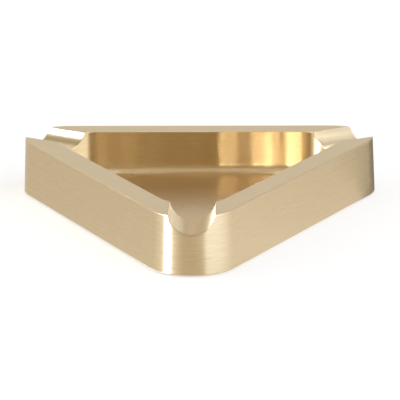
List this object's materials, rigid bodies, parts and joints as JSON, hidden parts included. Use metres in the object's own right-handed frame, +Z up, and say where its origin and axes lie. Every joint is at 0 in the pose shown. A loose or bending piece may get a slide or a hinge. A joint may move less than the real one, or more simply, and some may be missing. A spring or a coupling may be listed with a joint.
{
  "type": "ashtray",
  "caption": "Triangular ashtray milled from solid brass, with rounded corners, a deep filleted well, a round-bottomed cigarette rest through each corner and small silicone feet.",
  "frame": {"origin": "on the plane that the feet stand on, under the centre of the bounding box", "axes": "+Z up through the open well, -Y towards the front corner, +X to the right along the straight rear side"},
  "size_m": [0.1016, 0.0914, 0.0163],
  "materials": {
    "brass": "satin, finely brushed along the walls",
    "silicone": "matt"
  },
  "bodies": {
    "root": {"brass_tray": "brass", "foot_front": "silicone", "foot_right": "silicone", "foot_left": "silicone"}
  },
  "joints": []
}
